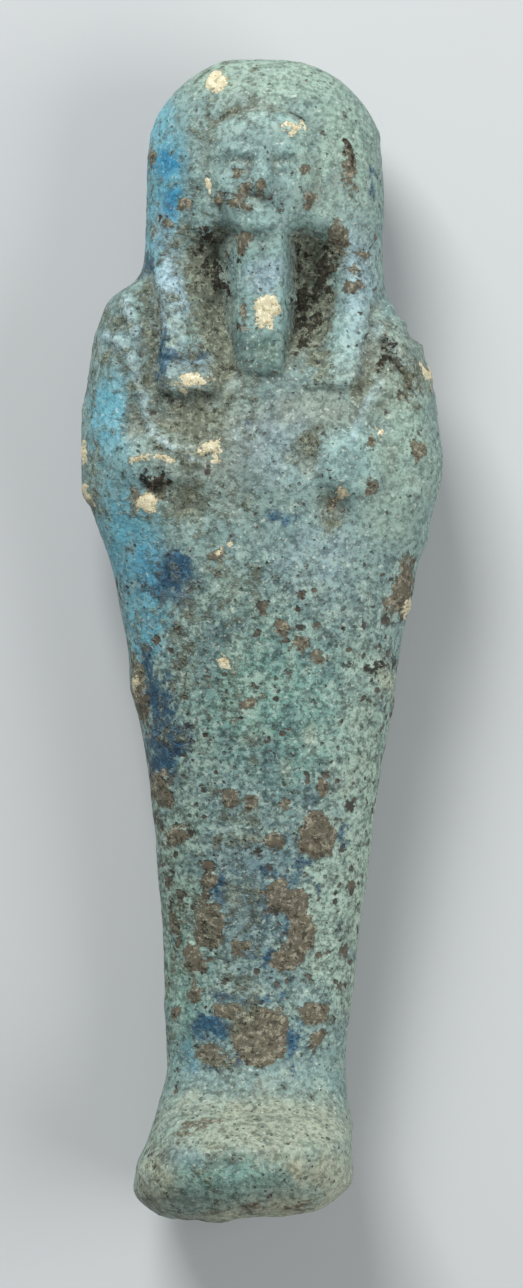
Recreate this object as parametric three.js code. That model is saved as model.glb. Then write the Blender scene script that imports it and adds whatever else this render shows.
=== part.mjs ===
// An ushabti: an Egyptian funerary figurine of moulded and glazed faience, one solid piece, lying on its
// back. Lengths are millimetres. +Z is the front of the figure and +Y points to the crown of its head.
// The origin lies under the middle of the figure, on the surface that its back pillar rests on.
import * as THREE from "three";

// Driving dimensions.
const LENGTH = 110; // from the soles to the crown
const BREADTH = 34.4; // across the elbows
const DEPTH = 22.4; // from the back pillar to the toes
const PILLAR_WIDTH = 8.8; // the flat pillar down the back, which the figure lies on

// Places along the figure.
const CROWN = LENGTH / 2;
const SOLE = -LENGTH / 2;
const DOME_START = CROWN - LENGTH / 10; // the wig begins to round over the top of the head
const SOLE_START = SOLE + LENGTH / 22; // the foot begins to round under
const ANKLE = -42;
const ELBOW = 7; // the carving of the arms begins here
const FOREHEAD_TOP = CROWN - 4.5; // the head is plain above this
const WIG_BACK_END = 27.5; // the lower edge of the wig at the back
const HALF_BREADTH = BREADTH / 2;

// The grid of faces: columns around the front and the back, and the distances between rows.
const FRONT_COLUMNS = 38;
const PILLAR_COLUMNS = 4;
const FLANK_COLUMNS = 6; // from an edge of the figure to the foot of the pillar
const SOLE_ROWS = 6;
const DOME_ROWS = 14;
const ROW_STEP = { foot: 1.1, legs: 2.6, chest: 1.0 };

// ---------------------------------------------------------------------------------------------------
// Curves

const clamp01 = (t) => Math.min(1, Math.max(0, t));
const mix = (a, b, t) => a + (b - a) * t;

// 0 below a, 1 above b, with a soft S between them.
function step(a, b, value) {
  const t = clamp01((value - a) / (b - a));
  return t * t * (3 - 2 * t);
}

// 1 between low and high, with soft ends.
const span = (low, high, soft, value) =>
  step(low - soft, low + soft, value) * (1 - step(high - soft, high + soft, value));

// A round hill of height 1 at (cx, cy).
const hill = (x, y, cx, cy, rx, ry) => Math.exp(-(((x - cx) / rx) ** 2) - ((y - cy) / ry) ** 2);

// The higher of two surfaces, with a fillet where they cross.
const higher = (a, b, fillet) => 0.5 * (a + b + Math.hypot(a - b, fillet));

// A curve through [place, value] pairs that doesn't overshoot between them (monotone cubic).
function through(points) {
  const last = points.length - 1;
  const rise = [];
  for (let i = 0; i < last; i++) {
    rise.push((points[i + 1][1] - points[i][1]) / (points[i + 1][0] - points[i][0]));
  }
  const slope = points.map((_, i) => {
    if (i === 0) return rise[0];
    if (i === last) return rise[last - 1];
    const [a, b] = [rise[i - 1], rise[i]];
    return a * b <= 0 ? 0 : (2 * a * b) / (a + b);
  });
  return (place) => {
    if (place <= points[0][0]) return points[0][1];
    if (place >= points[last][0]) return points[last][1];
    const i = points.findIndex((p, k) => k < last && place <= points[k + 1][0]);
    const width = points[i + 1][0] - points[i][0];
    const t = (place - points[i][0]) / width;
    return (
      (1 + 2 * t) * (1 - t) ** 2 * points[i][1] +
      t * (1 - t) ** 2 * width * slope[i] +
      t * t * (3 - 2 * t) * points[i + 1][1] +
      t * t * (t - 1) * width * slope[i + 1]
    );
  };
}

// Distance from (x, y) to a path of points.
function distanceTo(path, x, y) {
  let shortest = Infinity;
  for (let i = 0; i < path.length - 1; i++) {
    const [ax, ay] = path[i];
    const [dx, dy] = [path[i + 1][0] - ax, path[i + 1][1] - ay];
    const t = clamp01(((x - ax) * dx + (y - ay) * dy) / (dx * dx + dy * dy));
    shortest = Math.min(shortest, Math.hypot(x - ax - t * dx, y - ay - t * dy));
  }
  return shortest;
}

// The sum of soft ridges along paths. A ridge with a negative height is a groove.
function ridges(list, x, y) {
  let height = 0;
  for (const ridge of list) {
    height += ridge.height * Math.exp(-((distanceTo(ridge.path, x, y) / ridge.radius) ** 2));
  }
  return height;
}

// ---------------------------------------------------------------------------------------------------
// The plain body: its outline from the front, its profile from the side, and the shape of its sections

// Distances of the two edges from the middle. The right shoulder is lower, because its top is worn away.
const leftEdge = through([
  [SOLE, 11.9],
  [-50.5, 11.7],
  [-46, 10.1],
  [-41, 9.0],
  [-30, 9.2],
  [-17, 10.2],
  [-4, 12.1],
  [6, 14.0],
  [11.5, 15.9],
  [16.5, HALF_BREADTH],
  [23, 16.8],
  [29, 15.6],
  [31.9, 14.3],
  [33.5, 12.0],
  [36, 11.0],
  [42, 10.8],
  [CROWN, 10.8],
]);
const rightEdge = through([
  [SOLE, 8.2],
  [-50.5, 8.5],
  [-46, 8.2],
  [-41, 7.9],
  [-30, 9.1],
  [-17, 10.7],
  [-4, 12.7],
  [6, 14.6],
  [11, 16.1],
  [16.5, HALF_BREADTH],
  [23, 16.3],
  [27, 15.3],
  [29.8, 13.2],
  [31.8, 12.0],
  [36, 11.5],
  [42, 11.5],
  [CROWN, 10.8],
]);

// Heights above the resting surface: of the front, of the widest line, and of the back.
const frontHeight = through([
  [SOLE, 0.8 * DEPTH],
  [-52, 0.93 * DEPTH],
  [-49.8, 0.99 * DEPTH],
  [-48.2, DEPTH],
  [-46.6, 20.4],
  [-44.6, 16.8],
  [-42.6, 14.4],
  [-40, 13.3],
  [-34, 13.3],
  [-22, 15.0],
  [-8, 17.2],
  [4, 18.2],
  [14, 18.2],
  [24, 17.2],
  [31, 16.2],
  [36, 16.8],
  [43, 17.8],
  [CROWN, 17.0],
]);
const sideHeight = through([
  [SOLE, 9.5],
  [-47, 9.0],
  [-40, 7.4],
  [-20, 8.2],
  [5, 9.4],
  [20, 9.6],
  [CROWN, 9.6],
]);
const backHeight = through([
  [SOLE, 0.4],
  [-48, 0.4],
  [ANKLE, 1.5],
  [24, 1.8],
  [WIG_BACK_END - 0.6, 1.8],
  [WIG_BACK_END + 0.6, 0.5],
  [40, 0.35],
  [CROWN, 1.0],
]);

// How square a section is: 2 is an ellipse, and more is closer to a box.
const frontPower = through([
  [SOLE, 3.4],
  [-47, 3.0],
  [-41, 2.4],
  [0, 2.25],
  [16, 2.5],
  [30, 2.7],
  [42, 2.2],
  [CROWN, 2.1],
]);
const BACK_POWER = 2.7;
const DOME_POWER = 2.35;
const SOLE_POWER = 3;
const DOME_CENTRE = 9.2; // the height that the crown rounds to
const SOLE_CENTRE = 10.5; // the height that the sole rounds to
const SOLE_SLANT = 0.09; // the foot is worn shorter on its right

// The size of a section beside the body's own, falling to 0 at the crown and the sole.
function shrink(y) {
  const dome = clamp01((y - DOME_START) / (CROWN - DOME_START));
  const sole = clamp01((SOLE_START - y) / (SOLE_START - SOLE));
  return (1 - dome ** DOME_POWER) ** (1 / DOME_POWER) * (1 - sole ** SOLE_POWER) ** (1 / SOLE_POWER);
}

// ---------------------------------------------------------------------------------------------------
// The head. The face is of three equal thirds: the forehead, the nose, and the mouth with the chin.

const CHIN = 37.6;
const HAIRLINE = 49.3;
const THIRD = (HAIRLINE - CHIN) / 3;
const BROW = HAIRLINE - THIRD;
const NOSE_BASE = BROW - THIRD;
const MOUTH = NOSE_BASE - THIRD / 3;
const CHEEK = NOSE_BASE + 1.6;
const FACE_HALF_WIDTH = 6.0;
const EYE_SPACING = 2.15; // from the middle of the face to the middle of an eye

// The brow, eyes, nose, mouth and chin, which are the same on both sides of the face.
function features(x, y) {
  const side = Math.abs(x);
  const browArch = BROW + 0.25 - 0.09 * (side - 2.4) ** 2;
  const browEnds = step(0.5, 1.4, side) * (1 - step(3.6, 4.7, side));
  const brow = 0.22 * (1 - step(0.15, 1.1, Math.abs(y - browArch))) * browEnds;
  const socket = -0.5 * hill(side, y, EYE_SPACING, BROW - 1.25, 1.7, 0.95);
  const eye = 0.3 * hill(side, y, EYE_SPACING, BROW - 1.35, 0.9, 0.45);
  const cheek = 0.3 * hill(side, y, 3.2, NOSE_BASE + 0.9, 1.4, 1.5);
  const down = step(BROW + 0.4, NOSE_BASE + 0.7, y);
  const halfNose = mix(0.42, 0.95, down);
  const nose =
    mix(0.25, 1.2, down) *
    (1 - step(0.35 * halfNose, halfNose + 0.55, side)) *
    step(NOSE_BASE - 0.35, NOSE_BASE + 0.45, y) *
    (1 - step(BROW - 0.2, BROW + 1.6, y));
  const lips = 0.4 * hill(x, y, 0, MOUTH, 1.7, 0.78);
  const chin = 0.45 * hill(x, y, 0, CHIN + 1, 1.5, 0.8);
  return brow + socket + eye + cheek + nose + lips + chin;
}

const hairEdge = (x) => HAIRLINE - 0.06 * x ** 2;

// The face is a rounded mass that stands out of the wig, narrowing to the chin.
function face(x, y) {
  const up = clamp01((y - CHEEK) / (HAIRLINE - CHEEK));
  const down = clamp01((CHEEK - y) / (CHEEK - CHIN));
  const edge = FACE_HALF_WIDTH * (1 - 0.14 * up ** 2) - (FACE_HALF_WIDTH - 2.5) * down ** 1.35;
  const mass = 1.25 - 1.9 * Math.min(1.6, Math.abs(x) / edge) ** 3;
  const underChin = -3.0 * (1 - step(CHIN - 5.5, CHIN + 1.6, y));
  const underWig = -1.3 * step(-0.6, 0.7, y - hairEdge(x));
  return mass + underChin + underWig + features(x, y);
}

const ears = (x, y) => 0.45 * hill(Math.abs(x), y, FACE_HALF_WIDTH + 0.1, NOSE_BASE + 2.2, 0.55, 1.4);

// The false beard is a post under the chin, wider at its end, with one steep flank and one gentler one.
const BEARD_END = 23.9;
function beard(x, y) {
  const up = step(BEARD_END, CHIN, y);
  const offset = x - mix(-0.15, 0.25, up);
  const slope = offset < 0 ? mix(2.6, 1.3, up) : 3.2;
  const outside = Math.max(0, Math.abs(offset) - mix(1.65, 1.5, up));
  const cut = 2.2 * (1 - step(BEARD_END - 1.0, BEARD_END + 1.6, y)) + 2.5 * step(CHIN + 0.8, CHIN + 3, y);
  return mix(0.6, 0.95, up) - slope * outside - cut;
}

// The wig falls in a lappet on each side. A lappet lies between its crest and its outer edge, and the
// ground between the crests falls away to a hollow beside the beard.
const LAPPETS = {
  left: {
    end: 22.85,
    height: 0.9,
    outer: through([[22.4, 9.8], [25.5, 9.3], [29, 9.2], [32, 9.5], [35, 10.5], [38, 12]]),
    crest: through([[22.4, 3.7], [24.4, 4.2], [26.6, 6.2], [30.3, 7.4], [33.1, 8.2], [36, 9], [42, 7.4]]),
    hollow: { depth: 2.6, foot: 3.2, flat: 1.0 },
  },
  right: {
    end: 23.5,
    height: 0.6,
    outer: through([[23.2, 9.0], [26, 9.4], [30, 10.0], [34, 11.4], [38, 12.4]]),
    crest: through([[23.2, 4.0], [25.5, 6.0], [27.4, 7.2], [32.2, 8.3], [37, 8.6], [42, 7.2]]),
    hollow: { depth: 3.1, foot: 3.6, flat: 0.8 },
  },
};

function lappetCover(x, y) {
  const { end, outer, crest } = x < 0 ? LAPPETS.left : LAPPETS.right;
  const upperEnd = 1 - step(CHIN - 6, CHIN - 0.5, y);
  return span(crest(y), outer(y), 0.6, Math.abs(x)) * step(end - 0.5, end + 0.6, y) * upperEnd;
}

function throat(x, y) {
  const { crest, hollow } = x < 0 ? LAPPETS.left : LAPPETS.right;
  const inward = clamp01((crest(y) - Math.abs(x)) / (crest(y) - hollow.foot));
  const along = step(23.3, 31.5, y) * (1 - step(CHIN - 1.8, CHIN + 2.2, y));
  return -hollow.depth * along * step(-0.1, hollow.flat, inward);
}

// ---------------------------------------------------------------------------------------------------
// The chest. The arms are crossed under the wrapping, and each fist holds a hoe that rises to the shoulder.

const ARMS = [
  { path: [[-13.0, 30], [-14.5, 22], [-14.3, 14]], radius: 2.3, height: 0.7 },
  { path: [[-14.6, 12.5], [-8, 13.2], [4.5, 18.6]], radius: 2.4, height: 0.5 },
  { path: [[13.2, 28], [14.5, 21], [14.3, 14]], radius: 2.3, height: 0.65 },
  { path: [[14.6, 12.0], [6.5, 13.4], [-5, 18.0]], radius: 2.4, height: 0.45 },
];
const FISTS = [
  { x: -10.0, y: 16.6, rx: 3.4, ry: 2.7, height: 1.35 },
  { x: 8.3, y: 16.4, rx: 3.3, ry: 3.1, height: 1.25 },
];
// Hollows in and under the fists, and below the left lappet.
const HOLLOWS = [
  { x: -10.0, y: 14.4, rx: 1.4, ry: 1.1, depth: 1.0 },
  { x: -6.9, y: 12.4, rx: 2.0, ry: 1.9, depth: 0.9 },
  { x: 6.5, y: 12.2, rx: 1.5, ry: 1.9, depth: 0.9 },
  { x: 4.6, y: 17.0, rx: 1.1, ry: 2.4, depth: 0.6 },
  { x: -7.0, y: 20.6, rx: 3.6, ry: 1.6, depth: 0.5 },
];
const HOES = [
  { path: [[-12.9, 31.6], [-12.3, 30.0], [-12.0, 28.6]], radius: 0.8, height: 0.4 },
  { path: [[-14.6, 28.4], [-13.2, 27.8], [-12.3, 26.6], [-11.7, 24.6], [-11.5, 23.0]], radius: 0.8, height: 0.45 },
  { path: [[-10.9, 22.2], [-10.7, 20.2], [-10.0, 18.6], [-8.4, 17.4], [-6.4, 16.4]], radius: 0.8, height: 0.4 },
  { path: [[8.6, 18.5], [9.2, 21.0], [11.2, 23.8]], radius: 0.95, height: 0.4 },
  { path: [[10.9, 29.5], [12.9, 26.4], [14.8, 22.9]], radius: 1.2, height: 0.5 },
];
const GROOVES = [
  { path: [[11.6, 27.6], [12.2, 26.2], [13.4, 24.6], [14.0, 22.6]], radius: 0.7, height: -0.8 },
  { path: [[10.6, 31], [9.5, 25.5], [9.1, 22.0], [8.7, 19.8]], radius: 0.8, height: -0.35 },
  { path: [[-10.9, 35.5], [-9.9, 32], [-9.8, 28], [-10.3, 24]], radius: 0.8, height: -0.5 },
  { path: [[-11.2, 29.5], [-10.6, 25.5]], radius: 1.2, height: -0.35 },
];

function chest(x, y) {
  let arms = 0;
  for (const arm of ARMS) arms += ridges([arm], x, y) ** 3;
  let height = Math.cbrt(arms);
  for (const { x: cx, y: cy, rx, ry, height: top } of FISTS) {
    height += top * Math.exp(-(Math.hypot((x - cx) / rx, (y - cy) / ry) ** 4));
  }
  for (const { x: cx, y: cy, rx, ry, depth } of HOLLOWS) height -= depth * hill(x, y, cx, cy, rx, ry);
  return height;
}

// The whole carving, as a height added to the front of the body.
function carving(x, y) {
  const { height } = x < 0 ? LAPPETS.left : LAPPETS.right;
  const lappet = lappetCover(x, y);
  const collar = step(22.5, 24.5, y) * (1 - step(8, 10, Math.abs(x)));
  const wigFront = 0.25 * step(-0.4, 0.9, y - hairEdge(x)) * (1 - step(6, 9, Math.abs(x)));
  const ground =
    throat(x, y) +
    height * lappet +
    chest(x, y) * (1 - Math.max(lappet, collar)) +
    ridges(HOES, x, y) +
    ridges(GROOVES, x, y) +
    wigFront +
    ears(x, y);
  return higher(higher(ground, face(x, y), 0.4), beard(x, y), 0.4);
}

// ---------------------------------------------------------------------------------------------------
// The mesh: closed rings of points along the figure, with a point at each end

// Rows bunch up where the crown and the sole round over, as steps of equal angle do.
function rowPlaces() {
  const rows = [];
  for (let i = 1; i <= SOLE_ROWS; i++) {
    const turn = (i / (SOLE_ROWS + 1)) * (Math.PI / 2);
    rows.push(mix(SOLE_START, SOLE, Math.cos(turn) ** (2 / SOLE_POWER)));
  }
  let y = SOLE_START;
  while (y < FOREHEAD_TOP) {
    rows.push(y);
    y += y < ANKLE ? ROW_STEP.foot : y < ELBOW ? ROW_STEP.legs : ROW_STEP.chest;
  }
  for (let i = 1; i <= DOME_ROWS; i++) {
    const turn = (i / (DOME_ROWS + 1)) * (Math.PI / 2);
    const place = mix(DOME_START, CROWN, Math.sin(turn) ** (2 / DOME_POWER));
    if (place > y) rows.push(place);
  }
  return rows;
}

// One ring runs over the front from the right edge to the left one, then along the back. A place on it is
// a share of the way from the middle to the edge on the front, from the foot of the pillar to the edge on
// a flank, and from the middle to the edge of the pillar on the pillar.
function ringPlaces() {
  const ring = [];
  for (let i = 0; i < FRONT_COLUMNS; i++) {
    const u = 1 - (2 * i) / FRONT_COLUMNS;
    ring.push({ part: "front", share: u * (1.25 - 0.25 * u ** 4) });
  }
  for (let i = 0; i <= FLANK_COLUMNS; i++) {
    ring.push({ part: "flank", side: -1, share: Math.cos((i / FLANK_COLUMNS) * (Math.PI / 2)) });
  }
  for (let i = 0; i <= PILLAR_COLUMNS; i++) {
    ring.push({ part: "pillar", share: (2 * i) / PILLAR_COLUMNS - 1 });
  }
  for (let i = FLANK_COLUMNS; i > 0; i--) {
    ring.push({ part: "flank", side: 1, share: Math.cos((i / FLANK_COLUMNS) * (Math.PI / 2)) });
  }
  return ring;
}

function figurePoint(y, { part, side, share }) {
  const size = shrink(y);
  const isRight = part === "flank" ? side > 0 : share > 0;
  const edge = (isRight ? rightEdge(y) : leftEdge(y)) * size;
  const centre = y > 0 ? DOME_CENTRE : SOLE_CENTRE;
  const ridge = mix(centre, sideHeight(y), size);
  const bulge = (x, power) => (1 - Math.min(1, Math.abs(x) / edge) ** power) ** (1 / power);
  const slant = SOLE_SLANT * (1 - step(-51, -44, y));

  if (part === "front") {
    const x = share * edge;
    const plain = ridge + (mix(centre, frontHeight(y), size) - ridge) * bulge(x, frontPower(y));
    const fade = (1 - step(0.93, 1, Math.abs(share))) * step(0, 0.35, size);
    return [x, y + slant * x, plain + carving(x, y) * fade];
  }
  const halfPillar = Math.min(PILLAR_WIDTH / 2, 0.5 * edge);
  const wall = 0.1 * halfPillar;
  const x = part === "pillar" ? share * halfPillar : side * mix(halfPillar + wall, edge, share);
  const plain = ridge + (mix(centre, backHeight(y), size) - ridge) * bulge(x, BACK_POWER);
  const isPillar = part === "pillar" && y >= SOLE_START && y <= WIG_BACK_END;
  return [x, y + slant * x, isPillar ? 0 : plain];
}

function figureGeometry() {
  const rows = rowPlaces();
  const ring = ringPlaces();
  const count = ring.length;
  const positions = rows.flatMap((y) => ring.flatMap((place) => figurePoint(y, place)));
  const faces = [];
  for (let row = 0; row < rows.length - 1; row++) {
    for (let i = 0; i < count; i++) {
      const [a, b] = [row * count + i, row * count + ((i + 1) % count)];
      faces.push(a, b + count, b, a, a + count, b + count);
    }
  }
  const sole = rows.length * count;
  const crown = sole + 1;
  positions.push(0, SOLE, SOLE_CENTRE, 0, CROWN, DOME_CENTRE);
  const lastRow = (rows.length - 1) * count;
  for (let i = 0; i < count; i++) {
    const next = (i + 1) % count;
    faces.push(sole, i, next, crown, lastRow + next, lastRow + i);
  }
  const geometry = new THREE.BufferGeometry();
  geometry.setAttribute("position", new THREE.Float32BufferAttribute(positions, 3));
  geometry.setIndex(faces);
  geometry.computeVertexNormals();
  return geometry;
}

// ---------------------------------------------------------------------------------------------------
// The part

const faience = new THREE.MeshStandardMaterial({ color: 0x8aa39a, roughness: 0.72, metalness: 0 });
const geometry = figureGeometry();
geometry.computeBoundingBox();
const middle = geometry.boundingBox.getCenter(new THREE.Vector3());
geometry.translate(-middle.x, -middle.y, -geometry.boundingBox.min.z);
const figure = new THREE.Mesh(geometry, faience);
figure.name = "figure";

const part = new THREE.Group();
part.name = "ushabti_figurine";
part.add(figure);
export default part;
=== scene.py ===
# %% [markdown]
# # A weathered faience ushabti
# An ushabti is a small Egyptian funerary figurine. This one was pressed in a mould from quartz paste and
# glazed in the same firing, so it is one piece: a wrapped body with a wig, a false beard, crossed arms with
# a hoe in each fist, and a flat pillar down its back. It lies on that pillar. This lesson builds its skin as
# one fine surface, wears and chips it, and gives it the colours of old glaze and of the soil it lay in.

import itertools

import bpy
import numpy as np
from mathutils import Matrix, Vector


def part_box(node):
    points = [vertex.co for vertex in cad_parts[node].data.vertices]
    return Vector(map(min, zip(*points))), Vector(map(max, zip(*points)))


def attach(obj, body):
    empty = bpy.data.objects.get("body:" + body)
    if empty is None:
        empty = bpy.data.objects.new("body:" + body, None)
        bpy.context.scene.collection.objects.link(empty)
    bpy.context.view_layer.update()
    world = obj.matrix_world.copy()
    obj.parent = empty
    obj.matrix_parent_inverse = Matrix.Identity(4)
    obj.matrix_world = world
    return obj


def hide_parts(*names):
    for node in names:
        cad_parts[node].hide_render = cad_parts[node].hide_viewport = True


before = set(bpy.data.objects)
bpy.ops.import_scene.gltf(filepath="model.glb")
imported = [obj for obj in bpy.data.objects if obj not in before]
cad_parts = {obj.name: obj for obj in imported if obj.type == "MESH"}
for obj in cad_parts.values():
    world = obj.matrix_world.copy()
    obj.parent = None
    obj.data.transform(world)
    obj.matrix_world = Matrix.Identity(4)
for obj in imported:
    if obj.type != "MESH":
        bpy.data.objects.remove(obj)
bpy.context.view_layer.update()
low, high = (np.array(corner) * 1000 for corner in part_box("figure"))
print("the solid figure measures", (high - low).round(2), "mm")

# %% [markdown]
# ## Tools for shaping
# The figure is worked out in millimetres, with +Y towards the crown and +Z out of its front. Every shape
# below is built from a few simple functions of a place: a soft step, a span, a hill, a curve through chosen
# points, and the distance to a path. They work on whole arrays, so the surface needs no loop over vertices.

# %% Simple functions of a place
def clamp01(t):
    """t, kept between 0 and 1."""
    return np.clip(t, 0.0, 1.0)


def mix(a, b, t):
    """a where t is 0 and b where t is 1, in a straight line between."""
    return a + (b - a) * t


def step(a, b, value):
    """0 below a and 1 above b, joined by the S-curve 3t^2 - 2t^3."""
    t = clamp01((value - a) / (b - a))
    return t * t * (3 - 2 * t)


def span(start, end, soft, value):
    """1 between start and end, with an S-curve of half-width soft at each."""
    return step(start - soft, start + soft, value) * (1 - step(end - soft, end + soft, value))


def hill(x, y, cx, cy, rx, ry):
    """A round hill of height 1: e to the minus squared distance from (cx, cy), in units of the radii."""
    return np.exp(-(((x - cx) / rx) ** 2) - ((y - cy) / ry) ** 2)


def higher(a, b, fillet):
    """The higher of two surfaces with a fillet: half of a + b + the length of (a - b, fillet)."""
    return 0.5 * (a + b + np.hypot(a - b, fillet))


def through(*points):
    """A curve through (place, value) pairs: cubics whose slopes are harmonic means, so none overshoots."""
    places, values = np.array(points, float).T
    widths = np.diff(places)
    rises = np.diff(values) / widths
    before, after = rises[:-1], rises[1:]
    together = before * after > 0
    inner = np.where(together, 2 * before * after / np.where(together, before + after, 1), 0)
    slopes = np.concatenate([rises[:1], inner, rises[-1:]])

    def curve(place):
        place = np.clip(place, places[0], places[-1])
        i = np.clip(np.searchsorted(places, place) - 1, 0, len(widths) - 1)
        t = (place - places[i]) / widths[i]
        return (
            (1 + 2 * t) * (1 - t) ** 2 * values[i]
            + t * (1 - t) ** 2 * widths[i] * slopes[i]
            + t * t * (3 - 2 * t) * values[i + 1]
            + t * t * (t - 1) * widths[i] * slopes[i + 1]
        )

    return curve


def distance_to(path, x, y):
    """The distance from each (x, y) to the nearest of a path's straight pieces."""
    shortest = np.full(np.shape(x), np.inf)
    for (ax, ay), (bx, by) in zip(path, path[1:]):
        dx, dy = bx - ax, by - ay
        t = clamp01(((x - ax) * dx + (y - ay) * dy) / (dx * dx + dy * dy))
        shortest = np.minimum(shortest, np.hypot(x - ax - t * dx, y - ay - t * dy))
    return shortest


def ridge(path, radius, x, y):
    """A soft ridge of height 1 along a path: e to the minus squared distance in units of the radius."""
    return np.exp(-((distance_to(path, x, y) / radius) ** 2))


print("half way up a soft step:", step(0, 1, 0.5))

# %% [markdown]
# ## The wrapped body
# A moulded figure is easiest to describe by what a caliper would read: how far each edge lies from the
# middle, and how high the front, the widest line and the back are, all along its length. A cross-section is
# then a superellipse between them, rounder at the head and squarer at the foot. The same sections shrink to
# a point at the crown and the sole, which closes the surface.

# %% Outline, profile and sections
LENGTH, HALF_BREADTH, DEPTH, HALF_PILLAR = 110.0, 17.2, 22.4, 4.4
CROWN, SOLE = LENGTH / 2, -LENGTH / 2
DOME_START, SOLE_START, ANKLE, ELBOW, WIG_BACK_END = 44.0, -50.0, -42.0, 7.0, 27.5
DOME_POWER, SOLE_POWER, BACK_POWER = 2.35, 3.0, 2.7
DOME_CENTRE, SOLE_CENTRE = 9.2, 10.5
SOLE_SLANT = 0.09

left_edge = through(
    (SOLE, 11.9), (-50.5, 11.7), (-46, 10.1), (-41, 9.0), (-30, 9.2), (-17, 10.2), (-4, 12.1), (6, 14.0),
    (11.5, 15.9), (16.5, HALF_BREADTH), (23, 16.8), (29, 15.6), (31.9, 14.3), (33.5, 12.0), (36, 11.0),
    (42, 10.8), (CROWN, 10.8),
)
right_edge = through(
    (SOLE, 8.2), (-50.5, 8.5), (-46, 8.2), (-41, 7.9), (-30, 9.1), (-17, 10.7), (-4, 12.7), (6, 14.6),
    (11, 16.1), (16.5, HALF_BREADTH), (23, 16.3), (27, 15.3), (29.8, 13.2), (31.8, 12.0), (36, 11.5),
    (42, 11.5), (CROWN, 10.8),
)
front_height = through(
    (SOLE, 0.8 * DEPTH), (-52, 0.93 * DEPTH), (-49.8, 0.99 * DEPTH), (-48.2, DEPTH), (-46.6, 20.4),
    (-44.6, 16.8), (-42.6, 14.4), (-40, 13.3), (-34, 13.3), (-22, 15.0), (-8, 17.2), (4, 18.2), (14, 18.2),
    (24, 17.2), (31, 16.2), (36, 16.8), (43, 17.8), (CROWN, 17.0),
)
side_height = through((SOLE, 9.5), (-47, 9.0), (-40, 7.4), (-20, 8.2), (5, 9.4), (20, 9.6), (CROWN, 9.6))
back_height = through(
    (SOLE, 0.4), (-48, 0.4), (ANKLE, 1.5), (24, 1.8), (WIG_BACK_END - 0.6, 1.8), (WIG_BACK_END + 0.6, 0.5),
    (40, 0.35), (CROWN, 1.0),
)
front_power = through(
    (SOLE, 3.4), (-47, 3.0), (-41, 2.4), (0, 2.25), (16, 2.5), (30, 2.7), (42, 2.2), (CROWN, 2.1),
)


def shrink(y):
    """A section's size beside the body's own: (1 - t^m)^(1/m), from 1 to 0 over the crown and the sole."""
    dome = clamp01((y - DOME_START) / (CROWN - DOME_START))
    sole = clamp01((SOLE_START - y) / (SOLE_START - SOLE))
    return (1 - dome**DOME_POWER) ** (1 / DOME_POWER) * (1 - sole**SOLE_POWER) ** (1 / SOLE_POWER)


def section(x, y, edge, height, power):
    """The height of a superellipse: widest + (height - widest) * (1 - |x / edge|^n)^(1/n).

    Both heights draw in to one centre as the section shrinks.
    """
    size = shrink(y)
    centre = np.where(y > 0, DOME_CENTRE, SOLE_CENTRE)
    widest = mix(centre, side_height(y), size)
    bulge = (1 - clamp01(np.abs(x) / edge) ** power) ** (1 / power)
    return widest + (mix(centre, height(y), size) - widest) * bulge


elbows = 16.5
print("at the elbows it is", left_edge(elbows) + right_edge(elbows), "mm broad")
print("and", front_height(elbows), "mm high")

# %% [markdown]
# ## The face and the false beard
# The face is a general one, calm and symmetrical, on the old workshop rule of three equal thirds: forehead,
# nose, and mouth with chin. On a piece this small each feature is only a soft hill or hollow a few tenths of
# a millimetre high, rubbed down by handling and by burial. The beard is a post under the chin. Its left
# flank slopes more gently than its right one, where the mould was cut deeper.

# %% Heights of the face
CHIN, HAIRLINE = 37.6, 49.3
THIRD = (HAIRLINE - CHIN) / 3
BROW, NOSE_BASE = HAIRLINE - THIRD, HAIRLINE - 2 * THIRD
MOUTH, CHEEK = NOSE_BASE - THIRD / 3, NOSE_BASE + 1.6
FACE_HALF_WIDTH, EYE_SPACING, BEARD_END = 6.0, 2.15, 23.9


def features(x, y):
    """Brow, sockets, lids, cheeks, nose, lips and chin: hills and hollows, the same on both sides."""
    side = np.abs(x)
    arch = BROW + 0.25 - 0.09 * (side - 2.4) ** 2
    brow = 0.2 * (1 - step(0.1, 0.85, np.abs(y - arch))) * step(0.5, 1.4, side) * (1 - step(3.6, 4.7, side))
    socket = -0.45 * hill(side, y, EYE_SPACING, BROW - 1.25, 1.7, 0.95)
    lid = 0.26 * (1 - step(0.35, 1.15, np.hypot((side - EYE_SPACING) / 1.2, (y - BROW + 1.35) / 0.52)))
    cheek = 0.3 * hill(side, y, 3.2, NOSE_BASE + 0.9, 1.4, 1.5)
    down = step(BROW + 0.4, NOSE_BASE + 0.7, y)
    half = mix(0.42, 0.95, down)
    nose = mix(0.25, 1.1, down) * (1 - step(0.35 * half, half + 0.55, side))
    nose = nose * step(NOSE_BASE - 0.35, NOSE_BASE + 0.45, y) * (1 - step(BROW - 0.2, BROW + 1.6, y))
    lips = 0.36 * hill(x, y, 0, MOUTH, 1.8, 0.78) - 0.16 * hill(x, y, 0, MOUTH, 1.5, 0.17)
    chin = 0.45 * hill(x, y, 0, CHIN + 1, 1.5, 0.8)
    return brow + socket + lid + cheek + nose + lips + chin


def hair_edge(x):
    """The wig's edge over the forehead, a shallow parabola."""
    return HAIRLINE - 0.06 * x**2


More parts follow.
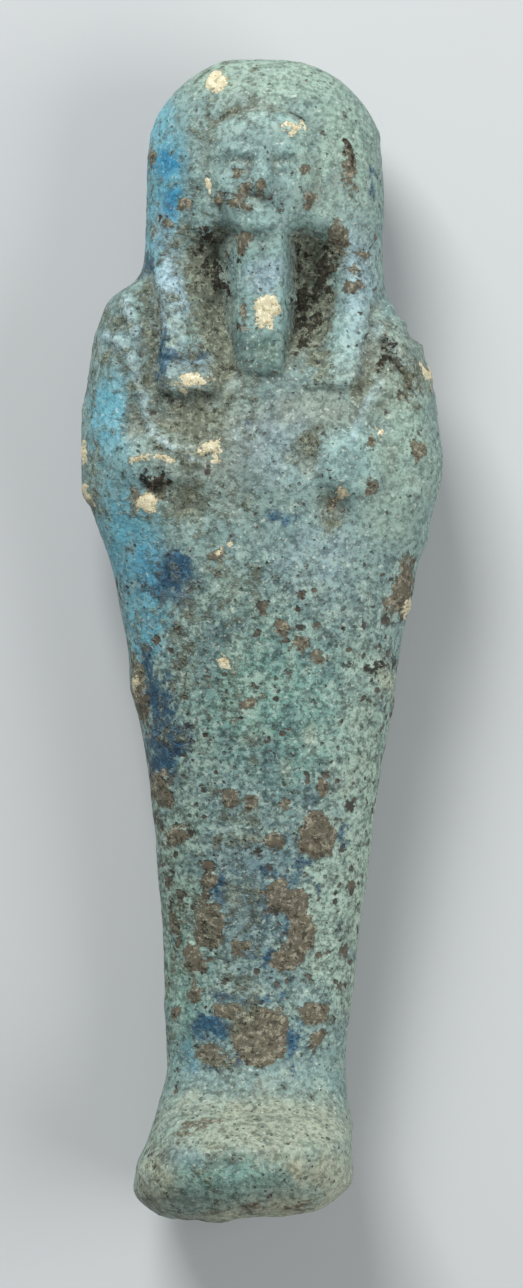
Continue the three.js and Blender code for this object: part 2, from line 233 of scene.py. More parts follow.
def face(x, y):
    """A mass that falls off with the cube of the distance across and narrows to the chin, with features."""
    up = clamp01((y - CHEEK) / (HAIRLINE - CHEEK))
    down = clamp01((CHEEK - y) / (CHEEK - CHIN))
    edge = FACE_HALF_WIDTH * (1 - 0.14 * up**2) - (FACE_HALF_WIDTH - 2.5) * down**1.35
    mass = 1.25 - 1.9 * np.minimum(1.6, np.abs(x) / edge) ** 3
    under_chin = -3.0 * (1 - step(CHIN - 5.5, CHIN + 1.6, y))
    under_wig = -1.3 * step(-0.6, 0.7, y - hair_edge(x))
    return mass + under_chin + under_wig + features(x, y)


def ears(x, y):
    """Two low worn hills beside the face."""
    return 0.45 * hill(np.abs(x), y, FACE_HALF_WIDTH + 0.1, NOSE_BASE + 2.2, 0.55, 1.4)


def beard(x, y):
    """A flat-topped post: its top height less a slope times the distance outside it, cut off at both ends."""
    up = step(BEARD_END, CHIN, y)
    offset = x - mix(-0.15, 0.25, up)
    slope = np.where(offset < 0, mix(2.6, 1.3, up), 3.2)
    outside = np.maximum(0, np.abs(offset) - mix(1.65, 1.5, up))
    cut = 2.2 * (1 - step(BEARD_END - 1.0, BEARD_END + 1.6, y)) + 2.5 * step(CHIN + 0.8, CHIN + 3, y)
    return mix(0.6, 0.95, up) - slope * (np.hypot(outside, 0.2) - 0.2) - cut


print("thirds of the face:", round(THIRD, 2), "mm each")

# %% [markdown]
# ## The wig's lappets, the arms and the hoes
# A lappet of the wig hangs on each side of the beard. Between a lappet's crest and the beard the ground
# falls away to a hollow, deepest on the right. On the chest the arms cross under the wrapping: only soft
# ridges show, with a fist at each side and the thin line of a hoe going up to the shoulder. Grooves part the
# lappets from the shoulders, and one on the right shoulder has opened into a crack.

# %% Heights of the chest
LAPPETS = {  # end, height, outer edge, crest, and the hollow's depth, foot and flatness
    -1: (22.85, 0.95,
         through((22.4, 9.8), (25.5, 9.3), (29, 9.2), (32, 9.5), (35, 10.5), (38, 12)),
         through((22.4, 3.7), (24.4, 4.2), (26.6, 6.2), (30.3, 7.4), (33.1, 8.2), (36, 9), (42, 7.4)),
         2.6, 3.2, 1.0),
    1: (23.5, 0.6,
        through((23.2, 9.0), (26, 9.4), (30, 10.0), (34, 11.4), (38, 12.4)),
        through((23.2, 4.0), (25.5, 6.0), (27.4, 7.2), (32.2, 8.3), (37, 8.6), (42, 7.2)),
        3.1, 3.6, 0.8),
}
ARMS = [  # path, radius and height
    ([(-13.0, 30), (-14.5, 22), (-14.3, 14)], 2.3, 0.7),
    ([(-14.6, 12.5), (-8, 13.2), (4.5, 18.6)], 2.4, 0.5),
    ([(13.2, 28), (14.5, 21), (14.3, 14)], 2.3, 0.65),
    ([(14.6, 12.0), (6.5, 13.4), (-5, 18.0)], 2.4, 0.45),
]
FISTS = [(-10.0, 16.6, 3.4, 2.7, 1.35), (8.3, 16.4, 3.3, 3.1, 1.25)]  # middle, two radii and height
HOLLOWS = [  # middle, two radii and depth
    (-10.0, 14.4, 1.4, 1.1, 1.0), (-6.9, 12.4, 2.0, 1.9, 0.9), (6.5, 12.2, 1.5, 1.9, 0.9),
    (4.6, 17.0, 1.1, 2.4, 0.6), (-7.0, 20.6, 3.6, 1.6, 0.5),
]
HOES = [  # path, radius and height
    ([(-12.9, 31.6), (-12.3, 30.0), (-12.0, 28.6)], 0.5, 0.5),
    ([(-14.6, 28.4), (-13.2, 27.8), (-12.3, 26.6), (-11.7, 24.6), (-11.5, 23.0)], 0.5, 0.6),
    ([(-11.1, 22.4), (-10.7, 20.2), (-10.0, 18.8), (-8.4, 17.8), (-6.4, 16.6)], 0.55, 0.5),
    ([(8.6, 18.5), (9.2, 21.0), (11.2, 23.8)], 0.7, 0.35),
    ([(10.9, 29.5), (12.9, 26.4), (14.8, 22.9)], 1.2, 0.5),
]
GROOVES = [  # path, radius and depth
    ([(11.5, 27.8), (12.2, 26.2), (13.4, 24.6), (14.0, 22.6)], 0.5, 1.0),
    ([(10.6, 31), (9.5, 25.5), (9.1, 22.0), (8.7, 19.8)], 0.7, 0.35),
    ([(-10.9, 35.5), (-9.9, 32), (-9.8, 28), (-10.3, 24)], 0.65, 0.55),
    ([(-11.2, 29.5), (-10.6, 25.5)], 1.2, 0.35),
]


def by_side(x, values):
    """The left value where x is below 0, and the right one elsewhere."""
    return np.where(x < 0, values[0], values[1])


def lappet_cover(x, y):
    """1 on the lappets: a span across between crest and outer edge, times soft steps at both ends."""
    cover = []
    for side in (-1, 1):
        end, _, outer, crest, *_ = LAPPETS[side]
        cover.append(span(crest(y), outer(y), 0.5, side * x) * step(end - 0.5, end + 0.6, y))
    return by_side(x, cover) * (1 - step(CHIN - 6, CHIN - 0.5, y))


def throat(x, y):
    """The hollow beside the beard: its depth times a soft step from the lappet's crest in to its foot."""
    along = step(23.3, 31.5, y) * (1 - step(CHIN - 1.8, CHIN + 2.2, y))
    sides = []
    for side in (-1, 1):
        _, _, _, crest, depth, foot, flat = LAPPETS[side]
        inward = clamp01((crest(y) - side * x) / (crest(y) - foot))
        sides.append(-depth * step(-0.1, flat, inward))
    return by_side(x, sides) * along


def chest(x, y):
    """Arms as the cube root of summed cubes of ridges, plus flat-topped fists, less the hollows."""
    height = np.cbrt(sum((tall * ridge(path, radius, x, y)) ** 3 for path, radius, tall in ARMS))
    for cx, cy, rx, ry, tall in FISTS:
        height = height + tall * np.exp(-(np.hypot((x - cx) / rx, (y - cy) / ry) ** 4))
    for cx, cy, rx, ry, depth in HOLLOWS:
        height = height - depth * hill(x, y, cx, cy, rx, ry)
    return height


def ground(x, y):
    """All but the face and the beard, added up: hollows, lappets, chest, hoes, grooves, wig and ears."""
    lappet = lappet_cover(x, y)
    collar = step(22.5, 24.5, y) * (1 - step(8, 10, np.abs(x)))
    tall = by_side(x, (LAPPETS[-1][1], LAPPETS[1][1]))
    band = (x < 0) * lappet * (0.2 * (1 - step(25.2, 25.7, y)) - 0.3 * span(25.6, 26.4, 0.3, y))
    wig_front = 0.25 * step(-0.4, 0.9, y - hair_edge(x)) * (1 - step(6, 9, np.abs(x)))
    height = throat(x, y) + tall * lappet + band + chest(x, y) * (1 - np.maximum(lappet, collar))
    height = height + sum(high * ridge(path, radius, x, y) for path, radius, high in HOES)
    height = height - sum(deep * ridge(path, radius, x, y) for path, radius, deep in GROOVES)
    return height + wig_front + ears(x, y)


def carving(x, y):
    """The whole relief: ground, face and beard, each the higher of itself and what is under it."""
    wig_line = 0.22 * np.exp(-(((y - hair_edge(x) - 0.1) / 0.35) ** 2)) * (1 - step(3.5, 5, np.abs(x)))
    return higher(higher(ground(x, y), face(x, y), 0.3), beard(x, y), 0.3) - wig_line


print("the right hollow is", round(float(-throat(np.array(3.0), np.array(33.0))), 2), "mm deep")

# %% [markdown]
# ## The smooth figure
# The surface is a grid: rows run along the figure and columns around it. Rows are closer together where the
# carving is fine, and columns bunch up at the edges, where the surface turns round. At the back the middle
# columns keep to the flat pillar, and the wall beside it is half a millimetre wide.

# %% A grid of places
FRONT_COLUMNS, FLANK_COLUMNS, PILLAR_COLUMNS = 158, 21, 10
FOOT_STEP, LEG_STEP, CHEST_STEP = 0.27, 0.31, 0.21
SOLE_ROWS, DOME_ROWS = 24, 58
FOREHEAD_TOP = CROWN - 4.5  # the head is plain above this
WALL_FOOT = 1.1  # where the pillar's wall meets the back, in half-widths of the pillar


def rounded(start, end, count, power):
    """Rows at equal angles over a rounded end: start + (end - start) * sin(turn)^(2/power)."""
    turn = np.linspace(0, np.pi / 2, count + 2)[1:-1]
    return mix(start, end, np.sin(turn) ** (2 / power))


def row_places():
    """Rows at even steps in each stretch, and at equal angles where the crown and the sole round over."""
    sole = rounded(SOLE_START, SOLE, SOLE_ROWS, SOLE_POWER)[::-1]
    foot = np.arange(SOLE_START, ANKLE, FOOT_STEP)
    legs = np.arange(ANKLE, ELBOW, LEG_STEP)
    upper = np.arange(ELBOW, FOREHEAD_TOP, CHEST_STEP)
    dome = rounded(DOME_START, CROWN, DOME_ROWS, DOME_POWER)
    return np.concatenate([sole, foot, legs, upper, dome[dome > upper[-1] + 0.1]])


def figure_grid(rows):
    """Points (row, column, xyz): superellipses with the carving in front and a flat pillar behind."""
    y = rows[:, None]
    size = shrink(y)
    u = 1 - 2 * np.arange(FRONT_COLUMNS) / FRONT_COLUMNS
    share = u * (1.25 - 0.25 * u**4)  # closer together towards 1 and -1
    edge = np.where(share > 0, right_edge(y), left_edge(y)) * size
    x = share * edge
    front = section(x, y, edge, front_height, front_power(y))
    front = front + carving(x, y + 0 * x) * (1 - step(0.93, 1, np.abs(share))) * step(0, 0.35, size)

    flank = np.cos(np.linspace(0, np.pi / 2, FLANK_COLUMNS + 1))
    across = np.linspace(-1, 1, PILLAR_COLUMNS + 1)
    sides = np.concatenate([-np.ones_like(flank), across, np.ones(FLANK_COLUMNS)])
    back_edge = np.where(sides > 0, right_edge(y), left_edge(y)) * size
    half = np.minimum(HALF_PILLAR, 0.5 * back_edge)
    reach = np.concatenate([flank, np.zeros_like(across), flank[:0:-1]])
    back_x = np.sign(sides) * mix(WALL_FOOT * half, back_edge, reach)
    on_pillar = slice(len(flank), len(flank) + len(across))
    back_x[:, on_pillar] = across * half[:, on_pillar]
    back = section(back_x, y, back_edge, back_height, BACK_POWER)
    pillar_rows = (rows >= SOLE_START) & (rows <= WIG_BACK_END)
    back[pillar_rows, on_pillar] = 0

    x, z = np.concatenate([x, back_x], 1), np.concatenate([front, back], 1)
    slant = SOLE_SLANT * (1 - step(-51, -44, y))
    return np.stack([x, y + slant * x, z], -1)


rows = row_places()
skin = figure_grid(rows)
columns = skin.shape[1]
is_front = np.arange(columns) < FRONT_COLUMNS
print(len(rows), "rows of", columns, "columns,", 2 * len(rows) * columns, "triangles")

# %% [markdown]
# ## Random wear
# Moulded paste is never quite even, and burial eats at the glaze. Smooth randomness comes from a lattice of
# cubes with a random value at each corner, blended inside each cube. Adding it at several sizes gives rough
# ground. It depends only on the place in space, so it runs round the edges of the figure with no seam.

# %% Lattice noise
LATTICE = np.random.default_rng(12).permutation(512)


def lattice_value(corner, seed):
    """A fixed random value from -1 to 1 for each whole-numbered corner, by looking up three times."""
    i = LATTICE[(corner[..., 0] + 37 * seed) % 512]
    i = LATTICE[(i + corner[..., 1]) % 512]
    return LATTICE[(i + corner[..., 2]) % 512] / 255.5 - 1


def noise(points, size, seed):
    """Values at the eight corners of a cube of that size, blended by the S-curve of each coordinate."""
    place = points / size
    cell = np.floor(place).astype(int)
    t = place - cell
    t = t * t * (3 - 2 * t)
    total = 0
    for corner in itertools.product((0, 1), repeat=3):
        weight = np.prod(np.where(corner, t, 1 - t), -1)
        total = total + weight * lattice_value(cell + corner, seed)
    return total


def rough(points, size, seed, octaves=3):
    """Noise added at size, half, quarter and so on, each half as strong as the one before."""
    return sum(noise(points, size / 2**k, seed + k) / 2**k for k in range(octaves))


WAVE, SHAKE, GRIT = 7.0, 2.4, 0.8  # the sizes of the roughness, in millimetres
coarse = rough(skin, WAVE, 1)
shake = np.stack([rough(skin, SHAKE, seed, 4) for seed in (5, 15)], -1)
gritty = rough(skin, GRIT, 11)
print("noise runs from", coarse.min().round(2), "to", coarse.max().round(2))

# %% [markdown]
# ## Where the glaze is lost
# Each kind of damage is a list of places on the front: ovals, given as middle x and y, two half-widths and a
# turn in degrees, and lines with a half-width, all in millimetres. What is worked out is how far inside the
# nearest place each vertex lies. The places are shaken by noise first, so their outlines are ragged. On the
# back and the flanks, noise alone decides, because such wear is scattered there. The lists of ovals run from
# the crown down to the sole.

# %% Finding places
X, Y, Z = skin[..., 0], skin[..., 1], skin[..., 2]
FAR = 2.0  # the depth inside or outside a place is kept within this


def inside(ovals=(), lines=(), shaken=0.5, power=2.0):
    """Depth inside the nearest place: for ovals (1 - the scaled distance) times the smaller half-width.

    The distance is (|along|^power + |across|^power)^(1/power), so a higher power makes squarer places. For
    lines the depth is the half-width less the distance to the path.
    """
    x, y = X + shaken * shake[..., 0], Y + shaken * shake[..., 1]
    depth = np.full(X.shape, -FAR)
    for cx, cy, rx, ry, turn in ovals:
        c, s = np.cos(np.radians(turn)), np.sin(np.radians(turn))
        along, across = (x - cx) * c + (y - cy) * s, (y - cy) * c - (x - cx) * s
        away = (np.abs(along / rx) ** power + np.abs(across / ry) ** power) ** (1 / power)
        depth = np.maximum(depth, (1 - away) * min(rx, ry))
    for path, half_width in lines:
        depth = np.maximum(depth, half_width - distance_to(path, x, y))
    return np.where(is_front, np.minimum(depth, FAR), -FAR)


def scattered(size, seed, rarity):
    """Depth inside scattered places on the flanks and back: where noise of that size tops the rarity."""
    behind = 1 - step(5.5, 9.0, Z)
    return mix(-FAR, np.clip(0.5 * size * (rough(skin, size, seed, 4) - rarity), -FAR, FAR), behind)


print("the farthest counted distance is", FAR, "mm")

# %% [markdown]
# ## Bare patches, chips and pooled glaze
# Brown patches are where the glaze is gone and the stained skin under it shows. Cream chips go down to the
# clean core, and are younger. Where the glaze ran thick it turned dark blue, mostly around the bare patches
# and down the figure's left side as seen.

# %% Places of wear
BARE = [
    (-10.3, 45.7, 0.4, 1.0, 0), (8.2, 44.6, 0.6, 2.3, 8), (-2.3, 43.8, 0.5, 0.5, 0),
    (3.8, 43.8, 0.5, 0.5, 0), (-1.1, 42.6, 0.35, 0.6, 0), (0.0, 41.7, 0.3, 0.6, 0),
    (-2.0, 41.2, 0.8, 0.45, 10), (-4.2, 41.1, 0.5, 0.7, 0), (4.8, 40.8, 0.8, 0.8, 0),
    (-0.9, 40.5, 0.6, 0.4, -10), (-7.3, 40.5, 0.5, 0.5, 0), (-8.5, 38.9, 0.7, 0.4, 0),
    (7.0, 37.7, 1.2, 1.5, 15), (-1.6, 37.2, 0.7, 0.6, 0), (9.6, 36.0, 0.55, 0.5, 0),
    (8.9, 34.5, 0.55, 0.55, 0), (8.5, 32.7, 0.9, 0.6, 0), (-1.7, 30.2, 0.3, 0.9, 0),
    (13.8, 24.2, 0.35, 1.5, -15), (10.2, 18.0, 0.4, 0.6, 0), (14.8, 17.8, 0.7, 1.0, 0),
    (10.3, 14.2, 0.3, 0.8, 0), (-9.6, 14.0, 1.1, 1.1, 0), (-11.9, 13.3, 0.5, 0.9, 0),
    (6.8, 12.8, 0.6, 0.9, 0), (-4.3, 7.8, 0.8, 0.5, 0), (13.3, 4.6, 0.9, 2.9, -12), (2.0, 0.9, 0.8, 0.6, 0),
    (3.4, -0.6, 0.9, 0.7, 60), (5.2, -1.9, 1.0, 0.7, -20), (-11.3, -4.9, 0.8, 3.6, 10),
    (-1.4, -6.6, 1.5, 0.7, 35), (5.6, -14.1, 0.8, 0.9, 0), (-9.4, -14.5, 0.9, 1.8, 15),
    (-3.0, -15.4, 0.9, 0.7, 0), (-1.0, -15.6, 0.6, 0.6, 0), (2.5, -15.6, 0.6, 0.6, 0),
    (5.2, -18.8, 2.0, 2.2, 0), (-7.6, -19.0, 1.0, 0.9, 0), (1.2, -19.0, 0.8, 0.9, 0),
    (-4.8, -23.2, 0.8, 0.8, 0), (-4.8, -27.0, 1.5, 2.4, 0), (-8.1, -27.3, 0.6, 1.0, 0),
    (-1.9, -29.5, 0.8, 0.6, 0), (-5.9, -30.6, 1.0, 1.6, 10), (-6.1, -33.9, 0.8, 1.1, 10),
    (-3.4, -35.4, 1.6, 0.8, 0), (-8.1, -35.7, 0.5, 1.2, 0), (4.7, -35.9, 1.6, 0.9, -10),
    (-0.2, -37.8, 2.8, 3.1, 0), (5.2, -38.3, 0.7, 0.9, 0), (-4.6, -39.6, 1.5, 0.7, 0),
    (-5.6, -46.0, 1.6, 0.3, 15), (-1.2, -53.0, 0.9, 0.6, 0), (3.2, -53.6, 1.0, 0.4, 20),
]
BARE_LINES = [
    ([(12.1, 26.4), (13.2, 25.0), (14.0, 22.8)], 0.25),
    ([(1.4, -24.1), (3.2, -25.2), (3.7, -27.2), (3.2, -29.2), (2.2, -30.4)], 1.45),
]
CHIPS = [
    (-4.3, 52.2, 0.9, 1.2, -25), (3.1, 47.4, 0.6, 0.4, 10), (-5.15, 42.2, 0.25, 1.0, 8),
    (0.35, 30.7, 0.9, 1.35, -22), (15.6, 25.2, 0.25, 0.9, 15), (-6.4, 23.9, 1.4, 0.65, 18),
    (10.7, 19.2, 0.25, 0.4, 20), (-4.9, 17.9, 0.55, 0.9, -30), (-16.9, 17.4, 0.3, 0.7, 0),
    (-4.1, 17.3, 0.55, 1.2, 15), (-9.0, 16.8, 0.8, 0.25, -5), (-10.7, 16.7, 1.1, 0.3, 15),
    (-16.4, 13.9, 0.5, 0.9, 25), (7.8, 13.4, 0.6, 0.2, 0), (-11.0, 12.7, 0.75, 0.65, -30),
    (-3.6, 8.3, 0.5, 0.25, 20), (13.4, 2.9, 0.3, 0.7, -15), (-3.5, -2.4, 0.5, 0.6, 20),
    (-11.6, -4.2, 0.25, 1.0, 10),
]
NAVY = [
    (10.4, 43.2, 0.3, 0.7, 0), (-10.9, 34.6, 0.5, 1.2, -20), (-9.0, 24.6, 0.4, 1.6, -15),
    (-0.9, 20.2, 0.4, 0.4, 0), (1.9, 11.4, 0.7, 0.5, 0), (-8.1, 5.8, 1.6, 2.4, 15),
    (-9.2, 4.4, 1.2, 0.9, 20), (-10.5, -2.6, 0.9, 1.9, 30), (-9.2, -6.2, 1.4, 2.8, 15),
    (-8.6, -9.6, 2.0, 2.3, 0), (-9.5, -12.2, 1.3, 1.2, 0), (7.6, -19.0, 0.4, 0.9, 0),
    (3.9, -21.4, 0.9, 0.5, 0), (2.6, -23.0, 1.6, 0.3, -20), (-3.6, -24.0, 0.8, 1.1, 0),
    (2.1, -27.0, 0.4, 0.8, 0), (2.3, -28.5, 0.35, 0.9, -20), (0.2, -30.1, 0.9, 0.5, 20),
    (-2.4, -34.0, 2.4, 0.4, 0), (-4.2, -37.4, 1.9, 1.2, 0), (3.2, -38.4, 0.8, 1.9, 10),
    (-2.4, -39.8, 1.0, 0.5, 20), (-4.4, -40.4, 0.9, 0.5, 20),
]
NAVY_LINES = [
    ([(-8.5, 28.0), (-9.0, 25.8), (-9.5, 24.4), (-9.2, 23.2)], 0.6),
    ([(-8.4, 26.8), (-6.6, 26.4), (-4.8, 26.6)], 0.4),
]

bare = np.maximum(inside(BARE, BARE_LINES), scattered(4.0, 21, 0.95))
chips = np.maximum(inside(CHIPS, shaken=0.5, power=2.6), scattered(2.6, 31, 1.1))
navy = np.maximum(inside(NAVY, NAVY_LINES, 0.7), scattered(5.0, 41, 0.75))
for name, depth in {"bare": bare, "chips": chips, "navy": navy}.items():
    print(name, "places cover", round(100 * float((depth > 0).mean()), 1), "% of the grid")

# %% [markdown]
# ## Soil in the hollows
# Soil stays where a brush can't reach. The hollows beside the beard are packed with it, smoothly on one side
# and in clods with open cracks on the other; the cracks are painted near black, for the shade inside them.
# Elsewhere a film follows the carving: where the surface lies below its surroundings it is painted browner,
# for soil, and darker, for painted shade, and the raised parts are painted paler, for rubbed wear and for a
# painted highlight. Comparing the carving with two blurred copies of itself, a slight one and a broad one,
# tells the two apart.

# %% Packed soil, cracks, and the film with painted shade and highlight
def blurred(field, times):
    """Each value becomes half of itself and a quarter of both neighbours, along and around, many times."""
    for _ in range(times):
        field = 0.5 * field + 0.25 * (np.roll(field, 1, 0) + np.roll(field, -1, 0))
        field = 0.5 * field + 0.25 * (np.roll(field, 1, 1) + np.roll(field, -1, 1))
    return field


carved = np.where(is_front, carving(X, Y), 0.0)
below = blurred(carved, 26) - carved + 0.5 * (blurred(carved, 120) - carved)
hollow = -throat(X, Y) / by_side(X, (LAPPETS[-1][4], LAPPETS[1][4]))
above = ground(X, Y) - np.maximum(face(X, Y), beard(X, Y))
visible = step(-0.1, 0.5, above + 0.25 * shake[..., 0]) * is_front
SOIL = [
    (-13.4, 29.7, 1.8, 0.9, 0), (5.6, 25.6, 1.8, 1.8, 0), (14.3, 25.0, 1.1, 1.9, -20),
    (-3.4, 24.4, 1.8, 2.0, 0), (-6.6, 21.2, 3.6, 1.8, 0), (-5.8, 18.8, 2.8, 1.4, -30),
    (4.6, 18.2, 1.2, 1.4, 0), (-7.4, 12.6, 2.4, 1.6, 0), (6.4, 11.2, 1.0, 1.6, 0),
]
SOIL_LINES = [
    ([(-10.9, 33.0), (-10.6, 28.5), (-10.5, 24.5), (-8.6, 21.6)], 0.8),
    ([(-4.8, 50.3), (-3.3, 49.5), (-0.6, 49.3), (1.2, 49.9)], 0.1),
    ([(-4.6, 48.4), (-4.5, 46.8)], 0.3),
    ([(9.2, 21.0), (9.6, 23.2), (10.6, 25.0)], 0.5),
    ([(11.6, 28.6), (12.2, 26.4), (13.4, 24.8), (14.1, 22.8)], 0.5),
]
packed = mix(-FAR, 3.2 * (hollow - by_side(X, (0.13, 0.34))) + 0.5 * shake[..., 1], visible)
soil = np.maximum(np.clip(packed, -FAR, FAR), 0.55 * inside(SOIL, SOIL_LINES, 1.0) - 0.05)
CRACKS = [
    (7.9, 46.0, 0.3, 0.7, 0), (-5.4, 38.0, 0.5, 0.9, 15), (-5.2, 36.0, 0.4, 1.2, 15),
    (6.1, 35.1, 1.1, 1.3, 0), (-4.1, 33.9, 0.5, 1.2, 20), (5.6, 33.4, 0.6, 0.9, 0),
    (3.1, 32.0, 0.5, 0.9, 0), (4.1, 31.2, 0.5, 0.4, 0), (4.3, 28.6, 0.4, 1.5, -20),
    (12.0, 26.7, 0.3, 0.9, -25), (-10.0, 14.6, 0.9, 0.5, 0), (10.8, -2.8, 1.2, 0.2, 0),
]
network = 0.21 - 1.1 * np.abs(rough(skin, SHAKE, 55))
clods = step(0.45, 0.8, hollow) * visible * (X > 0)
cracks = np.maximum(inside(CRACKS, shaken=0.4), mix(-FAR, network, clods))
cracks = np.maximum(cracks, -1.0)
# A film of soil and painted shade where the surface lies below its surroundings, and rubbed wear and a painted
# highlight where it stands above them.
soil_film_and_shade = step(0.0, 0.45, below + 0.12 * shake[..., 0])
rubbed_and_highlight = step(0.02, 0.4, -below + 0.08 * shake[..., 1])
print("soil lies on", round(100 * float((soil > 0).mean()), 1), "% of the grid")

# %% [markdown]
# ## Wearing the surface
# The worn surface is the smooth one moved along its own normals. Long waves make the moulded paste uneven,
# short ones roughen it, bare places and chips sink a little below the glaze, and packed soil is lumpy with
# open cracks. A few nicks break the edges. Wear mostly takes material away, and the little that it adds
# is kept within the solid's own box. The pillar that the figure lies on stays flat.

# %% Move the skin along its normals
RUBBED_OFF = 0.12  # what is gone all over, in millimetres
NICKS = [  # middle, two radii and depth
    (-3.6, 55.0, 1.4, 0.8, 0.25), (10.6, 47.6, 0.6, 1.0, 0.2), (-13.6, 33.2, 1.2, 0.7, 0.2),
    (-11.6, 33.0, 0.8, 0.8, 0.2), (12.2, 31.2, 0.6, 0.8, 0.4), (13.4, 29.6, 0.8, 0.7, 0.5),
    (14.9, 27.6, 0.5, 0.7, 0.35), (-16.4, 13.6, 0.9, 1.3, 0.25), (15.6, 9.0, 0.8, 1.0, 0.2),
    (13.4, 4.3, 0.9, 2.6, 0.35), (11.6, -4.4, 0.7, 1.6, 0.3), (-11.8, -5.0, 0.8, 3.2, 0.3),
    (8.6, -46.5, 0.8, 1.2, 0.3), (-10.9, -50.5, 0.9, 1.2, 0.3), (8.4, -51.6, 1.0, 1.0, 0.35),
    (-11.8, -52.8, 1.0, 1.0, 0.35), (5.4, -54.6, 1.2, 1.0, 0.35), (-4.0, -55.0, 1.6, 1.0, 0.4),
]


def normals(points):
    """The cross product of the differences along and around the grid, at length 1."""
    along = np.gradient(points, axis=0)
    around = np.roll(points, -1, 1) - np.roll(points, 1, 1)
    out = np.cross(along, around)
    return -out / np.maximum(np.linalg.norm(out, axis=-1, keepdims=True), 1e-9)


uneven = 1 - step(SOLE_START, ANKLE, Y) + 0.7 * span(ELBOW + 1, 31, 4, Y)  # the foot and the chest
waves = 0.16 * coarse + mix(0.07, 0.14, uneven) * shake[..., 0] + 0.04 * gritty
flaked = (0.2 + 0.1 * gritty) * step(-0.1, 0.35, bare) + 0.2 * step(-0.05, 0.25, chips)
caked = step(-0.3, 0.6, soil) * (0.1 + 0.13 * rough(skin, 1.5, 51))
cracked = 0.5 * step(-0.25, 0.35, cracks)
nicked = sum(deep * hill(X, Y, cx, cy, rx, ry) for cx, cy, rx, ry, deep in NICKS)
wear = waves - RUBBED_OFF - flaked + caked - cracked - nicked
worn = skin + normals(skin) * (wear * step(0, 0.3, shrink(Y)))[..., None]
worn[..., 2] = np.where(Z < 0.01, 0.0, np.maximum(worn[..., 2], 0.0))
print("the wear moves the skin by", wear.min().round(2), "to", wear.max().round(2), "mm")

# %% [markdown]
# ## The colours of old glaze
# A copper glaze is turquoise where it is thick and fresh, and turns grey green where it has weathered. The
# washes below are broad soft areas in a few named colours, laid one over another like watercolour, as
# middle, half-widths and strength. The lavender on the crests of both lappets is partly a painted highlight,
# and the pale line along each hoe is a painted highlight. The washes are shaken by noise, made browner and
# darker in the hollows, for a soil film and for painted shade, and made paler on the raised parts, for
# rubbed wear and for a painted highlight. Each colour is written as it looks and turned to linear light once.

# %% Washes of glaze
def linear(colour):
    """An sRGB hex colour as linear light: ((c + 0.055) / 1.055)^2.4, or c / 12.92 when dark."""
    c = np.array([int(colour[i : i + 2], 16) for i in (1, 3, 5)]) / 255
    return np.where(c <= 0.04045, c / 12.92, ((c + 0.055) / 1.055) ** 2.4)


SAGE, PALE_SAGE, SKY, AZURE, LAVENDER = "#7c9894", "#9fb8a6", "#69aec0", "#2b89b0", "#90a8b4"
HOE_HIGHLIGHT, TEAL, SLATE, MOSS, CREAM, UMBER = "#a4bac2", "#74a094", "#64808a", "#476058", "#b4b398", "#837d66"
WASHES = [
    (PALE_SAGE, 0.0, 53.0, 9.0, 2.6, 0.9), (PALE_SAGE, 7.4, 46.0, 4.4, 8.0, 0.7),
    (SKY, -9.6, 43.0, 2.4, 10.0, 1.0), (AZURE, -9.0, 44.6, 1.6, 1.3, 1.0),
    # The lavender on both lappets' crests is glaze colour and partly a painted highlight on those ridges.
    (AZURE, -8.4, 40.8, 0.9, 1.6, 1.0), (LAVENDER, 9.2, 33.5, 1.7, 8.0, 0.5),
    (LAVENDER, -8.8, 33.0, 1.5, 6.0, 0.8), (SLATE, -6.8, 25.8, 2.8, 2.0, 1.0),
    (MOSS, -0.4, 26.8, 2.6, 3.2, 1.0), (LAVENDER, 0.6, 34.0, 1.8, 1.8, 0.7),
    (SLATE, -13.2, 27.4, 2.6, 4.0, 0.45), (SKY, -14.0, 20.6, 2.4, 4.2, 0.95),
    (SKY, -12.8, 9.0, 3.0, 6.0, 1.0), (SKY, -10.8, 1.6, 2.6, 5.0, 1.0), (AZURE, -10.6, 6.4, 1.6, 2.6, 0.6),
    (UMBER, -5.0, 18.5, 6.5, 6.0, 0.5), (UMBER, 12.6, 25.0, 3.0, 4.0, 0.6),
    (UMBER, 5.5, 21.5, 4.0, 2.4, 0.5), (LAVENDER, 1.0, 18.0, 4.5, 4.5, 0.35),
    (PALE_SAGE, 13.5, 17.0, 3.5, 9.0, 0.7), (MOSS, -2.0, 1.0, 5.0, 7.0, 0.5),
    (LAVENDER, 5.0, 7.0, 4.0, 4.5, 0.4), (TEAL, 1.5, -7.0, 8.0, 8.0, 0.9),
    (SLATE, -1.0, -24.0, 5.0, 10.0, 0.6), (CREAM, 11.3, -4.2, 1.2, 1.8, 0.9),
    (PALE_SAGE, 9.6, -18.0, 2.8, 18.0, 1.0), (CREAM, 7.9, -29.0, 1.6, 9.0, 0.4),
    (TEAL, -7.2, -30.0, 2.6, 10.0, 0.9), (PALE_SAGE, 6.8, -27.0, 2.6, 10.0, 0.9),
    (PALE_SAGE, -7.5, -22.0, 2.0, 12.0, 0.6), (AZURE, -7.0, -40.2, 0.9, 1.6, 0.35),
    (PALE_SAGE, 0.0, -49.5, 14.0, 6.0, 0.5), (UMBER, 0.5, -46.0, 9.0, 3.5, 0.25),
    (CREAM, 0.5, -46.0, 10.0, 2.8, 0.5), (TEAL, -4.0, -50.2, 5.5, 1.8, 0.7),
    (SLATE, -7.6, -48.6, 2.4, 1.0, 0.6), (CREAM, -9.8, -51.0, 1.8, 3.0, 0.7),
    (CREAM, 6.5, -50.6, 2.0, 3.0, 0.7), (CREAM, 1.0, -54.4, 10.0, 2.4, 0.9),
    (CREAM, 3.2, -50.0, 1.4, 1.4, 1.0),
]


